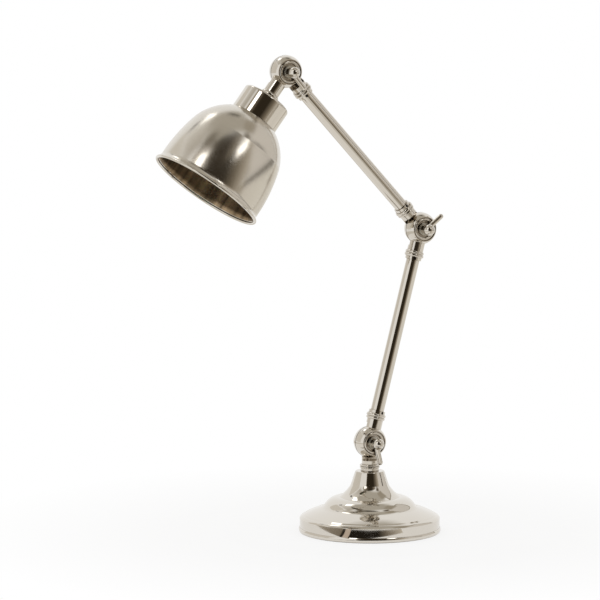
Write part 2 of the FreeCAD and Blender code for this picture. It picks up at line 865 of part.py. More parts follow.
def terminal_block():
    """Block on the cover where cord and lead meet."""
    block = doc.addObject("Part::Box", "Block")
    bind(block, Length="block_width", Width="block_depth", Height="block_height")
    block.setExpression("Placement", placement("-block_width / 2", "block_start", "cover_top"))
    bores = [pipe("bore", "port_radius", "0", "block_depth")]
    bores[0].setExpression("Placement", placement("0", "block_start", "block_middle", "-90", (1, 0, 0)))
    for offset in ("-block_screw_spacing / 2", "block_screw_spacing / 2"):
        bore = pipe("bore", "block_screw_radius + fit_gap", "0", "block_height")
        bore.setExpression("Placement", placement(
            offset, "block_start + block_depth / 2", "cover_top + block_height - block_screw_length"))
        bores.append(bore)
    holes = doc.addObject("Part::MultiFuse", "Bores")
    holes.Shapes = bores
    cut = doc.addObject("Part::Cut", "TerminalBlock")
    cut.Base = block
    cut.Tool = holes
    cut.Label = "terminal_block"
    return cut


def terminal_screws():
    """Two slotted clamp screws of the terminal block."""
    screws = []
    slot_width, slot_depth = "block_screw_radius / 2", "block_screw_radius / 2"
    for offset in ("-block_screw_spacing / 2", "block_screw_spacing / 2"):
        stud = pipe("stud", "block_screw_radius", "fit_gap", "block_screw_length")
        slot = doc.addObject("Part::Box", "Slot")
        bind(slot, Length=slot_width, Width="4 * block_screw_radius", Height="block_screw_radius")
        slot.setExpression("Placement", placement(
            f"-({slot_width}) / 2", "-2 * block_screw_radius", f"block_screw_length - {slot_depth}"))
        screw = doc.addObject("Part::Cut", "ClampScrew")
        screw.Base = stud
        screw.Tool = slot
        screw.setExpression("Placement", placement(
            offset, "block_start + block_depth / 2", "cover_top + block_height - block_screw_length"))
        screws.append(screw)
    return group("terminal_screws", screws)


def base_lead():
    """Lead from the terminal block up through the threaded tube to the base knuckle."""
    level, bend = value("block_middle"), value("nipple_foot - block_middle")
    reach = value("block_start + block_depth / 3")
    top = value("base_joint_height - lead_start")
    slant = bend * math.sqrt(0.5)
    path = Part.Wire([
        Part.LineSegment(Vector(0, reach, level), Vector(0, bend, level)).toShape(),
        Part.Arc(Vector(0, bend, level), Vector(0, bend - slant, level + bend - slant),
                 Vector(0, 0, level + bend)).toShape(),
        Part.LineSegment(Vector(0, 0, level + bend), Vector(0, 0, top)).toShape(),
    ])
    section = Part.Wire(Part.makeCircle(value("lead_radius"), Vector(0, reach, level), Vector(0, -1, 0)))
    lead = doc.addObject("Part::Feature", "BaseLead")
    lead.Label = "base_lead"
    lead.Shape = path.makePipeShell([section], True, True)
    return lead


def base():
    """All pieces of the base."""
    return [
        base_shell(),
        base_ballast(),
        base_cover(),
        base_felt(),
        base_cover_screws(),
        base_nipple(),
        nut("base_nut", "nut_height", "cavity_roof - washer_thickness - nut_height", "floor", "0"),
        washer("base_washer", "cavity_roof - washer_thickness", "floor", "0"),
        cord_bush(),
        terminal_block(),
        terminal_screws(),
        base_lead(),
        base_knuckle(),
    ]


# ---- head: distances run along the shade's axis from the head knuckle ------------------------------------

def lamp_cup():
    """Short cup over the lampholder."""
    body = new_body("lamp_cup")
    turned(body, [
        ("0", "cup_start"),
        ("cup_flat_radius", "cup_start"),
        ("cup_shoulder_radius", "cup_start + cup_shoulder_drop", "cup_shoulder_bend"),
        ("cup_radius", "cup_start + cup_corner_drop"),
        ("cup_radius", "cup_end"),
        ("0", "cup_end"),
    ])
    hollow(body, "cup_wall", "cup_end")
    drill(body, "nipple_hole", "cup_end", ("0", "0", "0"))
    return body


def shade():
    """Domed shade with a flat seat for the lampholder and a rolled rim."""
    body = new_body("shade")
    turned(body, [
        ("0", "shade_start"),
        ("shade_neck_radius", "shade_start", "crown_bend"),
        ("crown_end_radius", "crown_end", "side_bend"),
        ("skirt_end_radius", "skirt_end", "-lip_bend"),
        ("rim_radius", "rim_place - rim_bead"),
        ("rim_radius", "rim_place"),
        ("0", "rim_place"),
    ])
    hollow(body, "shade_wall", "rim_place")
    turned(body, [
        ("rim_radius + rim_bead", "rim_place", "rim_bead"),
        ("rim_radius", "rim_place + rim_bead", "rim_bead"),
        ("rim_radius - rim_bead", "rim_place", "rim_bead"),
        ("rim_radius", "rim_place - rim_bead", "rim_bead"),
    ])
    drill(body, "holder_thread_radius + seat_gap", "shade_plate", ("0", "0", "0"))
    return body


def head_nipple():
    """Threaded tube from the head knuckle through the cup into the lampholder."""
    body = new_body("head_nipple")
    start, end = "socket_start + seat_gap", "holder_cap_start + holder_cap_collar"
    turned(body, [
        ("nipple_bore", start),
        ("nipple_radius", start),
        ("nipple_radius", end),
        ("nipple_bore", end),
    ])
    return body


def lampholder_cap():
    """Upper half of the lampholder, screwed on the threaded tube."""
    body = new_body("lampholder_cap")
    collar_end = "holder_cap_start + holder_cap_collar"
    turned(body, [
        ("nipple_hole", "holder_cap_start"),
        ("washer_radius", "holder_cap_start"),
        ("holder_radius", collar_end),
        ("holder_radius", "holder_cap_end"),
        ("holder_radius - holder_cap_wall", "holder_cap_end"),
        ("holder_radius - holder_cap_wall", collar_end + " + holder_cap_wall"),
        ("nipple_hole", collar_end),
    ])
    return body


def lampholder_body():
    """Lower half of the lampholder: outer thread, flange above the shade, bore for the screw shell."""
    body = new_body("lampholder_body")
    turned(body, [
        ("0", "holder_cap_end"),
        ("holder_thread_radius", "holder_cap_end"),
        ("holder_thread_radius", "shade_start - holder_flange_thickness"),
        ("holder_flange_radius", "shade_start - holder_flange_thickness"),
        ("holder_flange_radius", "shade_start - fit_gap"),
        ("holder_thread_radius", "shade_start - fit_gap"),
        ("holder_thread_radius", "holder_end"),
        ("screw_shell_radius + fit_gap", "holder_end"),
        ("screw_shell_radius + fit_gap", "contact_place"),
        ("0", "contact_place"),
    ])
    for offset in ("-contact_radius - port_radius", "contact_radius + port_radius"):
        drill(body, "port_radius / 2", "holder_web", (offset, "0", "holder_cap_end"))
    return body


def shade_ring():
    """Threaded ring that clamps the shade against the lampholder's flange."""
    body = new_body("shade_ring")
    start = "shade_plate + fit_gap"
    turned(body, [
        ("holder_thread_radius + fit_gap", start),
        ("shade_ring_radius", start),
        ("shade_ring_radius", start + " + shade_ring_height"),
        ("holder_thread_radius + fit_gap", start + " + shade_ring_height"),
    ])
    return body


def screw_shell():
    """Metal thread shell of the lampholder."""
    body = new_body("screw_shell")
    end = "screw_shell_start + screw_shell_length"
    turned(body, [
        ("screw_shell_radius - screw_shell_wall", "screw_shell_start"),
        ("screw_shell_radius", "screw_shell_start"),
        ("screw_shell_radius", end),
        ("screw_shell_radius - screw_shell_wall", end),
    ])
    return body


def centre_contact():
    """Contact button in the bottom of the lampholder."""
    body = new_body("centre_contact")
    turned(body, [
        ("0", "contact_place"),
        ("contact_radius", "contact_place"),
        ("contact_radius", "contact_place + contact_thickness"),
        ("0", "contact_place + contact_thickness"),
    ])
    return body


def bulb_cap():
    """Screw cap of the bulb."""
    body = new_body("bulb_cap")
    turned(body, [
        ("0", "bulb_start"),
        ("bulb_contact_radius", "bulb_start"),
        ("bulb_cap_radius", "bulb_start + bulb_insulator_height"),
        ("bulb_cap_radius", "bulb_cap_end"),
        ("0", "bulb_cap_end"),
    ])
    hollow(body, "bulb_cap_wall", "bulb_cap_end")
    return body


def bulb_globe():
    """Round opal bulb."""
    body = new_body("bulb_globe")
    inner_radius = "(globe_radius - globe_wall)"
    inner_neck = "(globe_neck_radius - globe_wall)"
    neck_end = "globe_centre - sqrt(globe_radius ^ 2 - globe_neck_radius ^ 2)"
    inner_neck_end = f"globe_centre - sqrt({inner_radius} ^ 2 - {inner_neck} ^ 2)"
    turned(body, [
        (inner_neck, "bulb_cap_end"),
        ("globe_neck_radius", "bulb_cap_end"),
        ("globe_neck_radius", neck_end, "globe_radius"),
        ("globe_radius", "globe_centre", "globe_radius"),
        ("0", "globe_centre + globe_radius"),
        ("0", "globe_centre + globe_radius - globe_wall", "-" + inner_radius),
        (inner_radius, "globe_centre", "-" + inner_radius),
        (inner_neck, inner_neck_end),
    ])
    return body


def head():
    """All pieces of the head."""
    inside = "cup_start + cup_wall"
    bodies = [
        lamp_cup(),
        shade(),
        head_nipple(),
        lampholder_cap(),
        lampholder_body(),
        shade_ring(),
        screw_shell(),
        centre_contact(),
        bulb_cap(),
        bulb_globe(),
        group("head_lead", [pipe("lead", "lead_radius", "lead_start", "holder_cap_end - fit_gap")]),
    ]
    for body in bodies:
        place(body, "head", "shade_angle")
    bodies.append(nut("head_nut", "lock_nut_height", inside + " + washer_thickness", "head", "shade_angle"))
    bodies.append(washer("head_washer", inside, "head", "shade_angle"))
    bodies.append(head_knuckle())
    return bodies


# ---- build, check and write ------------------------------------------------------------------------------

FRONT, BACK = -1, 1
sub_parts = base()
sub_parts += arm("lower_arm", FRONT, FRONT, "base", "elbow")
sub_parts += arm("upper_arm", BACK, BACK, "elbow", "head")
sub_parts += head()
sub_parts += knuckle_hardware()
doc.recompute()

for item in doc.Objects:
    if "Invalid" in item.State or "Error" in item.State:
        raise RuntimeError(f"{item.Name} ({item.Label}) failed: {item.State}")
for item in sub_parts:
    if item.Shape.isNull() or not item.Shape.isValid():
        raise RuntimeError(f"{item.Label} has no valid shape")
for item in sub_parts:
    item.Shape.exportStep(f"parts/{item.Label}.step")
    print(item.Label, len(item.Shape.Solids), round(item.Shape.Volume, 1))
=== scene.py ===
"""Adjustable desk lamp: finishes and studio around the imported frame.

The lamp's solids come from the frame and stay where they are. Each operator below gives one group of them its
finish, and the last one sets up the floor, cards, lights and camera. Run as a script.
"""

import json
import math

import bpy
from bpy.props import FloatProperty, FloatVectorProperty, PointerProperty
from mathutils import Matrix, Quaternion, Vector


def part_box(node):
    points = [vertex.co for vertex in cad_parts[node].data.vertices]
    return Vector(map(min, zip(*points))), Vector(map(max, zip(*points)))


bl_info = {
    "name": "Nickel Desk Lamp",
    "version": (1, 0, 0),
    "blender": (4, 5, 0),
    "location": "3D View > Sidebar > Desk Lamp",
    "description": "Finishes and studio for an adjustable nickel desk lamp",
    "category": "Object",
}

# A new file starts with these, and the lamp doesn't need them.
for leftover in ("Cube", "Light", "Camera"):
    if leftover in bpy.data.objects:
        bpy.data.objects.remove(bpy.data.objects[leftover])

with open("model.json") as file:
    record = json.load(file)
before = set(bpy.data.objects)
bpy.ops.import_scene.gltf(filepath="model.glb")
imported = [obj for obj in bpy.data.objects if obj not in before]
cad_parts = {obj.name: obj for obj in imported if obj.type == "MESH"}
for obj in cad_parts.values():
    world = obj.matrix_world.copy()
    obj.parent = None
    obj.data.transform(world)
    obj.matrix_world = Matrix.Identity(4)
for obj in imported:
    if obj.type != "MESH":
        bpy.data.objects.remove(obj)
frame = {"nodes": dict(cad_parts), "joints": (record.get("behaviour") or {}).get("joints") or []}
NODES = frame["nodes"]
JOINTS = {joint["name"]: Vector(joint["pos_m"]) for joint in frame["joints"]}
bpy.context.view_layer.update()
MM = 0.001
CLAMPS = ("base", "elbow", "head")

# Nearly all of a noise pattern's values lie between these two.
PATTERN_LOW = 0.3
PATTERN_HIGH = 0.7

# Polished plate: its faint clouds and the smears that the buffing wheel leaves, as shares of the plain finish.
CLOUD_SIZE = 30 * MM
CLOUD_SHADE = 0.93
SMEAR_SIZE = 9 * MM
CLEAR_ROUGHNESS = 0.7
SMEARED_ROUGHNESS = 1.5

# Painted brown shade covers a spot that sees less than the first share of its surroundings, and none lies on one
# that sees more than the second.
SHADED_BELOW = 0.25
UNSHADED_ABOVE = 0.8

# The shade's satin, with places measured from the head knuckle's middle along the shade's axis.
SHADE_MIDDLE = 100 * MM
RIM_START = 147.6 * MM
RIM_FADE = 0.4 * MM
# The brush's own rings lie about 0.1 mm apart. These are coarser, so that they show.
RING_SPACING = 0.9 * MM
RING_DEPTH = 0.002 * MM
RING_SHADE = 0.9
RING_ROUGHNESS = (0.9, 1.12)
INSIDE_ROUGHNESS = 0.4
STREAKS_PER_RADIAN = 9
STREAK_SHADES = (1.35, 0.35)

# The studio: the points that its cards and its soft boxes face, its floor, the mats on it, and the camera.
CARDS_FACE = Vector((0, 0, 0.25))
BOXES_FACE = Vector((-0.05, 0, 0.3))
FLOOR_SIZE = 12.0
# Up to the first distance from the lamp the floor is seen as mostly white, and from the second on as all white.
SHADED_TO = 0.2
WHITE_FROM = 0.45
SHADED_WHITENESS = 0.8
MAT_HEIGHT = 0.5 * MM
MAT_SEGMENTS = 24
SENSOR_WIDTH = 36
VIEW_RANGE = 50


# ---- settings that a user would change ------------------------------------------------------------------------

def linear(hex_colour):
    """Linear RGBA of an sRGB hex colour."""
    parts = [int(hex_colour[i:i + 2], 16) / 255 for i in (0, 2, 4)]
    return [p / 12.92 if p <= 0.04045 else ((p + 0.055) / 1.055) ** 2.4 for p in parts] + [1.0]


def colour_setting(name, description, hex_colour):
    """Colour that a user can change."""
    return FloatVectorProperty(name=name, description=description, subtype="COLOR", size=4, min=0, max=1,
                               default=linear(hex_colour))


class LampFinish(bpy.types.PropertyGroup):
    """Colours and surface sizes of the lamp's finishes."""
    nickel: colour_setting("Nickel", "Colour of the polished nickel plate", "DAD4CA")
    satin: colour_setting("Satin nickel", "Colour of the spun satin plate on the shade", "D9D3C8")
    inside: colour_setting("Shade inside", "Colour of the lacquered, unpolished inside of the shade", "9B876C")
    # Colour of the brown shade painted into corners and gaps.
    painted_corner_shade: colour_setting("Residue", "Colour of the old polish left in corners", "5E4A32")
    polish: FloatProperty(
        name="Polish roughness", description="Roughness of the mirror-polished plate", default=0.06,
        min=0, max=1, subtype="FACTOR")
    satin_roughness: FloatProperty(
        name="Satin roughness", description="Roughness of the spun satin plate", default=0.2,
        min=0, max=1, subtype="FACTOR")
    # How far the painted corner shade spreads out of a corner.
    painted_corner_shade_reach: FloatProperty(
        name="Residue reach", description="How far residue spreads out of a corner", default=1.6 * MM,
        min=0, unit="LENGTH")


class LampStudio(bpy.types.PropertyGroup):
    """Camera and ambient light of the studio."""
    camera_azimuth: FloatProperty(
        name="Camera azimuth", description="Direction of the camera about the lamp, from -Y towards +X",
        default=math.radians(-26.69), subtype="ANGLE")
    camera_distance: FloatProperty(
        name="Camera distance", description="Level distance from the lamp's origin", default=4.208, unit="LENGTH")
    camera_height: FloatProperty(
        name="Camera height", description="Height above the floor", default=0.7532, unit="LENGTH")
    camera_pitch: FloatProperty(
        name="Camera pitch", description="How far the view dips below level", default=math.radians(6.874),
        subtype="ANGLE")
    camera_pan: FloatProperty(
        name="Camera pan", description="Turn of the view away from the lamp's origin",
        default=math.radians(1.002), subtype="ANGLE")
    lens: FloatProperty(
        name="Lens", description="Focal length on a 36 mm sensor, in mm", default=242.35)
    level: FloatProperty(
        name="Ambient level", description="Strength of the soft light from all round", default=0.75)


# ---- small helpers --------------------------------------------------------------------------------------------

def add_node(tree, kind, settings=None, links=None):
    """Add one node. Settings and links go by the name or number of an input, or the name of a property."""
    node = tree.nodes.new(kind)
    for name, setting in (settings or {}).items():
        if isinstance(name, int) or name in node.inputs:
            node.inputs[name].default_value = setting
        else:
            setattr(node, name, setting)
    for name, socket in (links or {}).items():
        tree.links.new(socket, node.inputs[name])
    return node


def new_material(name, settings):
    """Material with its shader's plain inputs set. Gives the material, its tree, shader and coordinates."""
    material = bpy.data.materials.new(name)
    material.use_nodes = True
    tree = material.node_tree
    shader = tree.nodes["Principled BSDF"]
    for socket, setting in settings.items():
        shader.inputs[socket].default_value = setting
    return material, tree, shader, add_node(tree, "ShaderNodeTexCoord").outputs["Object"]


def span(start, end, low, high):
    """Settings of a node that turns a value between start and end into one between low and high."""
    return {"From Min": start, "From Max": end, "To Min": low, "To Max": high}


def scaled(colour, factor):
    """Colour with its values multiplied."""
    return [min(1.0, channel * factor) for channel in colour[:3]] + [1.0]


def grain(tree, place, size, detail=3.0, stretch=(1, 1, 1)):
    """Pattern of soft grains about the given size across, in metres."""
    stretched = add_node(tree, "ShaderNodeMapping", {"Scale": stretch}, {"Vector": place})
    return add_node(tree, "ShaderNodeTexNoise", {"Scale": 1 / size, "Detail": detail},
                    {"Vector": stretched.outputs[0]}).outputs["Fac"]


def colour_surface(tree, shader, pattern, first, second):
    """Colour a surface between two hex colours, after a pattern."""
    mixed = add_node(tree, "ShaderNodeMix", {"data_type": "RGBA", 6: linear(first), 7: linear(second)},
                     {0: pattern})
    tree.links.new(mixed.outputs[2], shader.inputs["Base Color"])


def dull_surface(tree, shader, pattern, low, high):
    """Give a surface a roughness between low and high, after a pattern."""
    roughness = add_node(tree, "ShaderNodeMapRange", span(PATTERN_LOW, PATTERN_HIGH, low, high),
                         {"Value": pattern})
    tree.links.new(roughness.outputs["Result"], shader.inputs["Roughness"])


def raise_surface(tree, shader, pattern, depth):
    """Raise and sink a surface after a pattern, depth in metres."""
    bump = add_node(tree, "ShaderNodeBump", {"Strength": 1.0, "Distance": depth}, {"Height": pattern})
    tree.links.new(bump.outputs[0], shader.inputs["Normal"])


def paint_corner_shade(tree, shader, plate, reach):
    """Colour a surface as its plate is, with brown shade painted deep into its corners and gaps, where it sees
    little of its surroundings. Reach is how far from there a spot still counts as in a corner, in metres."""
    openness = add_node(tree, "ShaderNodeAmbientOcclusion", {"samples": 6, "Distance": reach}).outputs["AO"]
    corner_shading = add_node(tree, "ShaderNodeMapRange", span(SHADED_BELOW, UNSHADED_ABOVE, 1, 0), {"Value": openness})
    mixed = add_node(tree, "ShaderNodeMix", {"data_type": "RGBA", 7: bpy.context.scene.lamp_finish.painted_corner_shade},
                     {0: corner_shading.outputs["Result"], 6: plate})
    tree.links.new(mixed.outputs[2], shader.inputs["Base Color"])


def dress(material, *names):
    """Give CAD nodes a material."""
    for name in names:
        for entry in NODES[name].material_slots:
            entry.material = material


def at_each_clamp(ending):
    """Names of the nodes that each of the three clamped knuckles has one of."""
    return [clamp + ending for clamp in CLAMPS]


# ---- finishes -------------------------------------------------------------------------------------------------

def polished_nickel(name, ripple, depth, haze=1.0, reach=1.0):
    """Bright nickel plate, buffed to a mirror. The base metal's ripples bend the reflections a little, and brown
    shade is painted into the corners, further out where reach is larger."""
    finish = bpy.context.scene.lamp_finish
    material, tree, shader, place = new_material(name, {"Metallic": 1.0})
    clouds = grain(tree, place, CLOUD_SIZE)
    plate = add_node(tree, "ShaderNodeMix",
                     {"data_type": "RGBA", 6: finish.nickel, 7: scaled(finish.nickel, CLOUD_SHADE)}, {0: clouds})
    # Brown shade painted into the corners and gaps.
    paint_corner_shade(tree, shader, plate.outputs[2], finish.painted_corner_shade_reach * reach)
    smears = grain(tree, place, SMEAR_SIZE, detail=5)
    dull_surface(tree, shader, smears, finish.polish * CLEAR_ROUGHNESS, finish.polish * SMEARED_ROUGHNESS * haze)
    raise_surface(tree, shader, grain(tree, place, ripple, detail=1), depth)
    return material


def shade_axis():
    """Direction from the head knuckle through the shade's middle line."""
    low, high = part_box("lampholder_body")
    return ((low + high) / 2 - JOINTS["head_hinge"]).normalized()


def spun_satin(name):
    """Satin nickel, brushed while it spins: fine rings soften the reflections. The rolled rim keeps its mirror
    polish, and the inside is dull, brownish lacquered metal, with lighter and darker streaks that run along the
    shade's axis."""
    finish = bpy.context.scene.lamp_finish
    axis, hinge = shade_axis(), JOINTS["head_hinge"]
    rim_start = hinge.dot(axis) + RIM_START
    material, tree, shader, place = new_material(name, {"Metallic": 1.0})
    along = add_node(tree, "ShaderNodeVectorMath", {"operation": "DOT_PRODUCT", 1: axis},
                     {0: place}).outputs["Value"]
    rings = add_node(tree, "ShaderNodeTexNoise",
                     {"noise_dimensions": "1D", "Scale": 1 / RING_SPACING, "Detail": 4.0},
                     {"W": along}).outputs["Fac"]
    rim = add_node(tree, "ShaderNodeMapRange", span(rim_start, rim_start + RIM_FADE, 0, 1),
                   {"Value": along}).outputs["Result"]

    # A face of the hollow looks back at the shade's middle. The rim counts as outside all round.
    middle = hinge + axis * SHADE_MIDDLE
    outwards = add_node(tree, "ShaderNodeVectorMath", {"operation": "SUBTRACT", 1: middle},
                        {0: place}).outputs["Vector"]
    facing_out = add_node(tree, "ShaderNodeVectorMath", {"operation": "DOT_PRODUCT"},
                          {0: outwards, 1: add_node(tree, "ShaderNodeTexCoord").outputs["Normal"]})
    facing_in = add_node(tree, "ShaderNodeMapRange", span(-1 * MM, 1 * MM, 1, 0),
                         {"Value": facing_out.outputs["Value"]}).outputs["Result"]
    hollow = add_node(tree, "ShaderNodeMath", {"operation": "SUBTRACT", "use_clamp": True},
                      {0: facing_in, 1: rim}).outputs[0]

    # Lighter and darker streaks that run along the shade's axis, in the inside's colour.
    across = add_node(tree, "ShaderNodeVectorMath", {"operation": "CROSS_PRODUCT", 1: axis},
                      {0: outwards}).outputs["Vector"]
    around = add_node(tree, "ShaderNodeVectorMath", {"operation": "NORMALIZE"}, {0: across}).outputs["Vector"]
    streaks = add_node(tree, "ShaderNodeTexNoise", {"Scale": STREAKS_PER_RADIAN, "Detail": 4.0},
                       {"Vector": around}).outputs["Fac"]
    streaked = add_node(tree, "ShaderNodeMapRange", span(PATTERN_LOW, PATTERN_HIGH, 0, 1),
                        {"Value": streaks}).outputs["Result"]

    light, dark = (scaled(finish.inside, shade) for shade in STREAK_SHADES)
    lacquer = add_node(tree, "ShaderNodeMix", {"data_type": "RGBA", 6: light, 7: dark},
                       {0: streaked}).outputs[2]
    plate = add_node(tree, "ShaderNodeMix",
                     {"data_type": "RGBA", 6: finish.satin, 7: scaled(finish.satin, RING_SHADE)},
                     {0: rings}).outputs[2]
    mixed = add_node(tree, "ShaderNodeMix", {"data_type": "RGBA"}, {0: hollow, 6: plate, 7: lacquer})
    # Brown shade painted into the shade's corners and gaps.
    paint_corner_shade(tree, shader, mixed.outputs[2], finish.painted_corner_shade_reach)

    low, high = (finish.satin_roughness * share for share in RING_ROUGHNESS)
    roughness = add_node(tree, "ShaderNodeMapRange", span(PATTERN_LOW, PATTERN_HIGH, low, high),
                         {"Value": rings}).outputs["Result"]
    for share, other in ((hollow, INSIDE_ROUGHNESS), (rim, finish.polish)):
        roughness = add_node(tree, "ShaderNodeMix", {"data_type": "FLOAT", 3: other},
                             {0: share, 2: roughness}).outputs[0]
    tree.links.new(roughness, shader.inputs["Roughness"])
    raise_surface(tree, shader, rings, RING_DEPTH)
    return material


def cast_iron(name):
    """Rough grey iron with the dull, grainy skin of a sand mould. The grains are coarser than sand, so that they
    show."""
    material, tree, shader, place = new_material(name, {"Metallic": 0.6, "Roughness": 0.75})
    grit = grain(tree, place, 1.6 * MM, detail=6)
    colour_surface(tree, shader, grit, "3A393A", "565453")
    raise_surface(tree, shader, grit, 0.15 * MM)
    return material


def zinc_steel(name):
    """Zinc-plated steel with a faint yellow and blue bloom."""
    material, tree, shader, place = new_material(name, {"Metallic": 1.0})
    bloom = grain(tree, place, 6 * MM)
    colour_surface(tree, shader, bloom, "BFC2C6", "CFC9B4")
    dull_surface(tree, shader, grain(tree, place, 1.2 * MM), 0.25, 0.42)
    return material


def blackened_steel(name):
    """Steel blackened in hot oil: nearly black with a low, uneven shine."""
    material, tree, shader, place = new_material(name, {"Metallic": 1.0})
    bloom = grain(tree, place, 1.5 * MM)
    colour_surface(tree, shader, bloom, "2A2724", "453F39")
    dull_surface(tree, shader, bloom, 0.35, 0.5)
    return material


def rolled_brass(name):
    """Plain brass strip, lightly tarnished."""
    material, tree, shader, place = new_material(name, {"Metallic": 1.0})
    stain = grain(tree, place, 5 * MM)
    colour_surface(tree, shader, stain, "D8B25E", "A9813C")
    dull_surface(tree, shader, stain, 0.22, 0.4)
    return material


def phenolic(name):
    """Black phenolic moulding: a low gloss with the faint mottle of its wood filler, drawn coarser than the
    filler's flour."""
    material, tree, shader, place = new_material(name, {"IOR": 1.6})
    filler = grain(tree, place, 1.5 * MM, detail=4)
    colour_surface(tree, shader, filler, "14110F", "241D19")
    dull_surface(tree, shader, filler, 0.28, 0.42)
    return material


def vulcanised_fibre(name):
    """Brown vulcanised fibre sheet with a cloudy, papery surface."""
    material, tree, shader, place = new_material(name, {"Roughness": 0.7})
    cloud = grain(tree, place, 4 * MM, detail=5)
    colour_surface(tree, shader, cloud, "5A3A24", "7A5334")
    raise_surface(tree, shader, cloud, 0.04 * MM)
    return material


def wool_felt(name):
    """Pressed wool felt with a soft sheen at the edge. Its tufts are drawn coarser than the fibres, so that they
    show."""
    material, tree, shader, place = new_material(name, {
        "Roughness": 0.95, "Sheen Weight": 0.4, "Sheen Roughness": 0.5})
    tufts = grain(tree, place, 0.9 * MM, detail=8)
    colour_surface(tree, shader, tufts, "23262A", "3C4045")
    raise_surface(tree, shader, tufts, 0.2 * MM)
    return material


def cable_sheath(name):
    """Soft off-white cable sheath."""
    material, tree, shader, place = new_material(name, {"IOR": 1.5})
    skin = grain(tree, place, 2 * MM)
    colour_surface(tree, shader, skin, "DEDACF", "D1CCBF")
    dull_surface(tree, shader, skin, 0.4, 0.5)
    return material


def drawn_aluminium(name):
    """Thin drawn aluminium of the bulb's cap."""
    material, tree, shader, place = new_material(name, {"Metallic": 1.0})
    scuffs = grain(tree, place, 2.5 * MM, stretch=(1, 1, 0.3))
    colour_surface(tree, shader, scuffs, "D4D5D6", "BEBFC1")
    dull_surface(tree, shader, scuffs, 0.24, 0.36)
    return material


def opal_glass(name):
    """Opal glass: milky white all through under a smooth gloss."""
    material, tree, shader, place = new_material(name, {
        "IOR": 1.5, "Roughness": 0.22, "Subsurface Weight": 0.3, "Subsurface Scale": 10 * MM})
    milk = grain(tree, place, 14 * MM)
    colour_surface(tree, shader, milk, "F2EFE8", "EAE6DC")
    return material


# ---- the lamp -------------------------------------------------------------------------------------------------

class DESKLAMP_OT_base(bpy.types.Operator):
    """Finish the weighted base and what it holds inside"""
    bl_idname = "desk_lamp.base"
    bl_label = "Base"

    def execute(self, context):
        spun = polished_nickel("polished nickel on spun brass", ripple=18 * MM, depth=0.03 * MM)
        dress(spun, "base_shell")
        dress(cast_iron("sand-cast iron"), "base_ballast")
        dress(vulcanised_fibre("vulcanised fibre"), "base_cover")
        dress(wool_felt("pressed wool felt"), "base_felt")
        dress(phenolic("black phenolic moulding"), "cord_bush", "terminal_block")
        return {"FINISHED"}


class DESKLAMP_OT_knuckles(bpy.types.Operator):
    """Finish the ball knuckles, their nuts and friction washers"""
    bl_idname = "desk_lamp.knuckles"
    bl_label = "Knuckles"

    def execute(self, context):
        cast = polished_nickel("polished nickel on cast brass", ripple=6 * MM, depth=0.006 * MM, haze=1.3,
                               reach=2)
        dress(cast, "base_knuckle", "lower_arm_foot_knuckle", "lower_arm_top_knuckle",
              "upper_arm_foot_knuckle", "upper_arm_top_knuckle", "head_knuckle", *at_each_clamp("_cap_nut"))
        dress(bpy.data.materials["vulcanised fibre"], *at_each_clamp("_friction_washer"))
        return {"FINISHED"}


class DESKLAMP_OT_keys(bpy.types.Operator):
    """Finish the turned clamp keys and their levers"""
    bl_idname = "desk_lamp.keys"
    bl_label = "Clamp keys"

    def execute(self, context):
        turned = polished_nickel("polished nickel on turned brass", ripple=4 * MM, depth=0.002 * MM)
        for piece in ("_key_lever", "_key_hub", "_key_screw"):
            dress(turned, *at_each_clamp(piece))
        return {"FINISHED"}


class DESKLAMP_OT_arms(bpy.types.Operator):
    """Finish the arm tubes"""
    bl_idname = "desk_lamp.arms"
    bl_label = "Arms"

    def execute(self, context):
        drawn = polished_nickel("polished nickel on drawn brass tube", ripple=20 * MM, depth=0.003 * MM)
        dress(drawn, "lower_arm_tube", "upper_arm_tube")
        return {"FINISHED"}


class DESKLAMP_OT_fixings(bpy.types.Operator):
    """Finish screws, nuts, washers, threaded tubes, contacts and leads"""
    bl_idname = "desk_lamp.fixings"
    bl_label = "Fixings and wiring"

    def execute(self, context):
        dress(zinc_steel("bright zinc plate on steel"), "base_cover_screws", "base_nipple", "base_nut",
              "base_washer", "head_nipple", "head_nut", "head_washer", *at_each_clamp("_key_washer"))
        dress(blackened_steel("blackened steel"), "lower_arm_set_screws", "upper_arm_set_screws")
        dress(rolled_brass("rolled brass"), "terminal_screws", "screw_shell", "centre_contact")
        dress(cable_sheath("soft cable sheath"), "base_lead", "lower_arm_lead", "upper_arm_lead", "head_lead")
        return {"FINISHED"}


class DESKLAMP_OT_head(bpy.types.Operator):
    """Finish the cup, shade, lampholder and bulb"""
    bl_idname = "desk_lamp.head"
    bl_label = "Head"

    def execute(self, context):
        dress(bpy.data.materials["polished nickel on spun brass"], "lamp_cup")
        dress(spun_satin("spun satin nickel"), "shade")
        dress(bpy.data.materials["black phenolic moulding"], "lampholder_cap", "lampholder_body", "shade_ring")
        dress(drawn_aluminium("drawn aluminium"), "bulb_cap")
        dress(opal_glass("opal glass"), "bulb_globe")
        return {"FINISHED"}


# ---- studio ---------------------------------------------------------------------------------------------------

def seen_directly(tree):
    """1 for rays from the camera, and for those that polished metal or glass sends on."""
    path = add_node(tree, "ShaderNodeLightPath")
    metal = add_node(tree, "ShaderNodeMath", {"operation": "MAXIMUM"},
                     {0: path.outputs["Is Camera Ray"], 1: path.outputs["Is Glossy Ray"]})
    return add_node(tree, "ShaderNodeMath", {"operation": "MAXIMUM"},
                    {0: metal.outputs[0], 1: path.outputs["Is Transmission Ray"]}).outputs[0]


def toward(azimuth, elevation, distance):
    """Way to a point about the lamp, from two angles in degrees and a distance in metres. Azimuth is measured
    from the camera's side, to the right."""
    turn = bpy.context.scene.lamp_studio.camera_azimuth + math.radians(azimuth)
    rise = math.radians(elevation)
    return Vector((math.sin(turn) * math.cos(rise), -math.cos(turn) * math.cos(rise), math.sin(rise))) * distance


def plain(hex_colour):
    """Colours of a card that is the same all over."""
    return ((0, hex_colour), (1, hex_colour))


